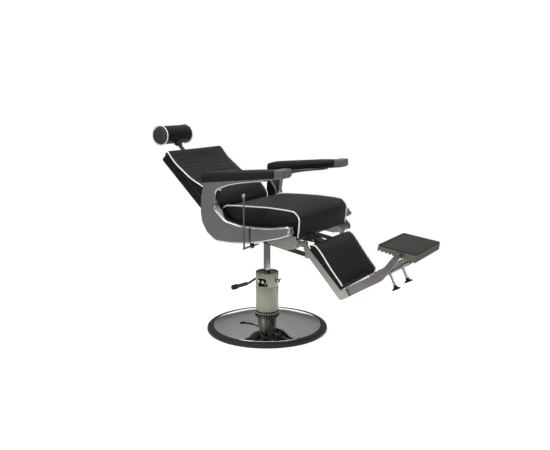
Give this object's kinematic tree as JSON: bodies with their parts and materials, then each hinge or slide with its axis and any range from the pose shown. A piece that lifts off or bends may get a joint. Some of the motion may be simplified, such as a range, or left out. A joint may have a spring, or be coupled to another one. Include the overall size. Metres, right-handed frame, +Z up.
{
  "type": "hydraulic barber chair",
  "caption": "Reclining hydraulic barber chair with padded seat, back, arms, head roll, legrest and flip-over foot plate on a round base.",
  "frame": {"origin": "centre of the base's underside, on the column's axis", "axes": "+Z up, the chair faces -Y, the sitter's right is -X"},
  "size_m": [0.7263, 1.5606, 1.0814],
  "materials": {
    "leather": "black fine-grained leather with white piping",
    "polished_casting": "polished",
    "chrome": "mirror",
    "steel": "machined",
    "iron": "cast, painted dark",
    "column_paint": "satin grey-olive",
    "plate_paint": "satin pale grey",
    "black_paint": "satin black",
    "arm_metal": "satin, slightly warm grey",
    "tread_metal": "satin olive-grey",
    "tread_rubber": "matte dark grey",
    "rubber": "matte black",
    "board": "raw plywood",
    "trim": "satin dark grey"
  },
  "bodies": {
    "base": {"base_plate": "iron", "base_dome": "chrome", "base_rim": "rubber", "flange_bolts": "steel", "pedestal_ring": "black_paint", "pump_cylinder": "steel", "cylinder_gland": "steel", "pump_sleeve": "column_paint", "pump_collar": "column_paint", "collar_cap": "black_paint", "pump_block": "iron", "yoke_pins": "steel"},
    "pump_lever": {"pump_yoke": "black_paint", "pedal_rubber": "rubber"},
    "plunger": {"pump_plunger": "steel", "plunger_spring": "steel"},
    "lock_lever": {"lock_lever": "chrome"},
    "ram": {"piston_rod": "chrome", "piston_head": "steel"},
    "seat_frame": {"saddle": "black_paint", "saddle_bolts": "steel", "seat_frame": "black_paint", "hinge_plates": "plate_paint", "seat_board": "board", "seat_cushion": "leather", "arm_casting_left": "polished_casting", "arm_casting_right": "polished_casting", "arm_bolts": "steel", "arm_plates": "polished_casting", "arm_pad_left": "leather", "arm_pad_right": "leather", "arm_caps": "trim", "legrest_pins": "steel", "back_pins": "steel", "lever_bracket": "black_paint"},
    "backrest": {"back_irons": "black_paint", "crank_tube": "black_paint", "back_frame": "black_paint", "back_shell": "leather", "back_board": "board", "back_cushion": "leather"},
    "push_bar_left": {"push_bar_left": "black_paint"},
    "push_bar_right": {"push_bar_right": "black_paint"},
    "recline_cylinder": {"recline_cylinder": "black_paint"},
    "recline_rod": {"recline_rod": "chrome"},
    "recline_lever": {"recline_lever": "chrome", "lever_knob": "chrome"},
    "head_post": {"head_post": "black_paint"},
    "head_roll": {"head_bracket": "black_paint", "head_roll": "leather"},
    "legrest": {"legrest_frame": "plate_paint", "legrest_leaf": "black_paint", "legrest_board": "board", "legrest_cushion": "leather", "foot_arms": "arm_metal", "foot_crossbar": "chrome", "stub_feet": "rubber", "foot_bolts": "chrome"},
    "foot_plate": {"foot_plate": "tread_metal", "foot_pad": "tread_rubber"}
  },
  "joints": [
    {"name": "ram_lift", "type": "slide", "parent": "base", "child": "ram", "axis": [0, 0, 1], "range_m": [-0.11, 0.03]},
    {"name": "seat_swivel", "type": "hinge", "parent": "ram", "child": "seat_frame", "pos_m": [0, 0, 0.5], "axis": [0, 0, 1], "continuous": true},
    {"name": "recline", "type": "hinge", "parent": "seat_frame", "child": "backrest", "pos_m": [0, 0.13, 0.65], "axis": [1, 0, 0], "range_deg": [0, 32]},
    {"name": "legrest_fold", "type": "hinge", "parent": "seat_frame", "child": "legrest", "pos_m": [0, -0.339, 0.544], "axis": [1, 0, 0], "range_deg": [0, 43.25]},
    {"name": "bar_swing_left", "type": "hinge", "parent": "backrest", "child": "push_bar_left", "pos_m": [0.188, 0.12136, 0.56604], "axis": [1, 0, 0], "range_deg": [-32, 0]},
    {"name": "bar_swing_right", "type": "hinge", "parent": "backrest", "child": "push_bar_right", "pos_m": [-0.188, 0.12136, 0.56604], "axis": [1, 0, 0], "range_deg": [-32, 0]},
    {"name": "cylinder_rock", "type": "hinge", "parent": "seat_frame", "child": "recline_cylinder", "pos_m": [-0.245, -0.15, 0.545], "axis": [1, 0, 0], "range_deg": [-0.8, 0]},
    {"name": "cylinder_stroke", "type": "slide", "parent": "recline_cylinder", "child": "recline_rod", "axis": [0, 0.9999, 0.0162], "range_m": [0, 0.058]},
    {"name": "lever_pull", "type": "hinge", "parent": "seat_frame", "child": "recline_lever", "pos_m": [-0.36, -0.092, 0.519], "axis": [-1, 0, 0], "range_deg": [0, 14], "stiffness_Nm_per_rad": 8, "springref_deg": -3.44},
    {"name": "head_height", "type": "slide", "parent": "backrest", "child": "head_post", "axis": [0, 0.7169, 0.6972], "range_m": [-0.03, 0.07]},
    {"name": "head_tilt", "type": "hinge", "parent": "head_post", "child": "head_roll", "pos_m": [0, 0.57934, 0.97454], "axis": [1, 0, 0], "range_deg": [-25, 25]},
    {"name": "foot_flip", "type": "hinge", "parent": "legrest", "child": "foot_plate", "pos_m": [0, -0.80705, 0.53298], "axis": [1, 0, 0], "range_deg": [0, 128]},
    {"name": "pump_pedal", "type": "hinge", "parent": "base", "child": "pump_lever", "pos_m": [0, -0.005, 0.268], "axis": [-1, 0, 0], "range_deg": [0, 14], "stiffness_Nm_per_rad": 12, "springref_deg": -8.59},
    {"name": "plunger_stroke", "type": "slide", "parent": "base", "child": "plunger", "axis": [0, 0, -1], "range_m": [0, 0.012], "deforming": ["plunger_spring"]},
    {"name": "lock_turn", "type": "hinge", "parent": "base", "child": "lock_lever", "pos_m": [0, -0.071, 0.273], "axis": [1, 0, 0], "range_deg": [0, 25]}
  ],
  "couplings": [
    {"joint": "legrest_fold", "follows": "recline", "ratio": 1.3504},
    {"joint": "bar_swing_left", "follows": "recline", "ratio": -0.9975},
    {"joint": "bar_swing_right", "follows": "recline", "ratio": -0.9975},
    {"joint": "cylinder_rock", "follows": "recline", "ratio": -0.022},
    {"joint": "cylinder_stroke", "follows": "recline", "m_per_rad": 0.103},
    {"joint": "plunger_stroke", "follows": "pump_pedal", "m_per_rad": 0.0485}
  ]
}
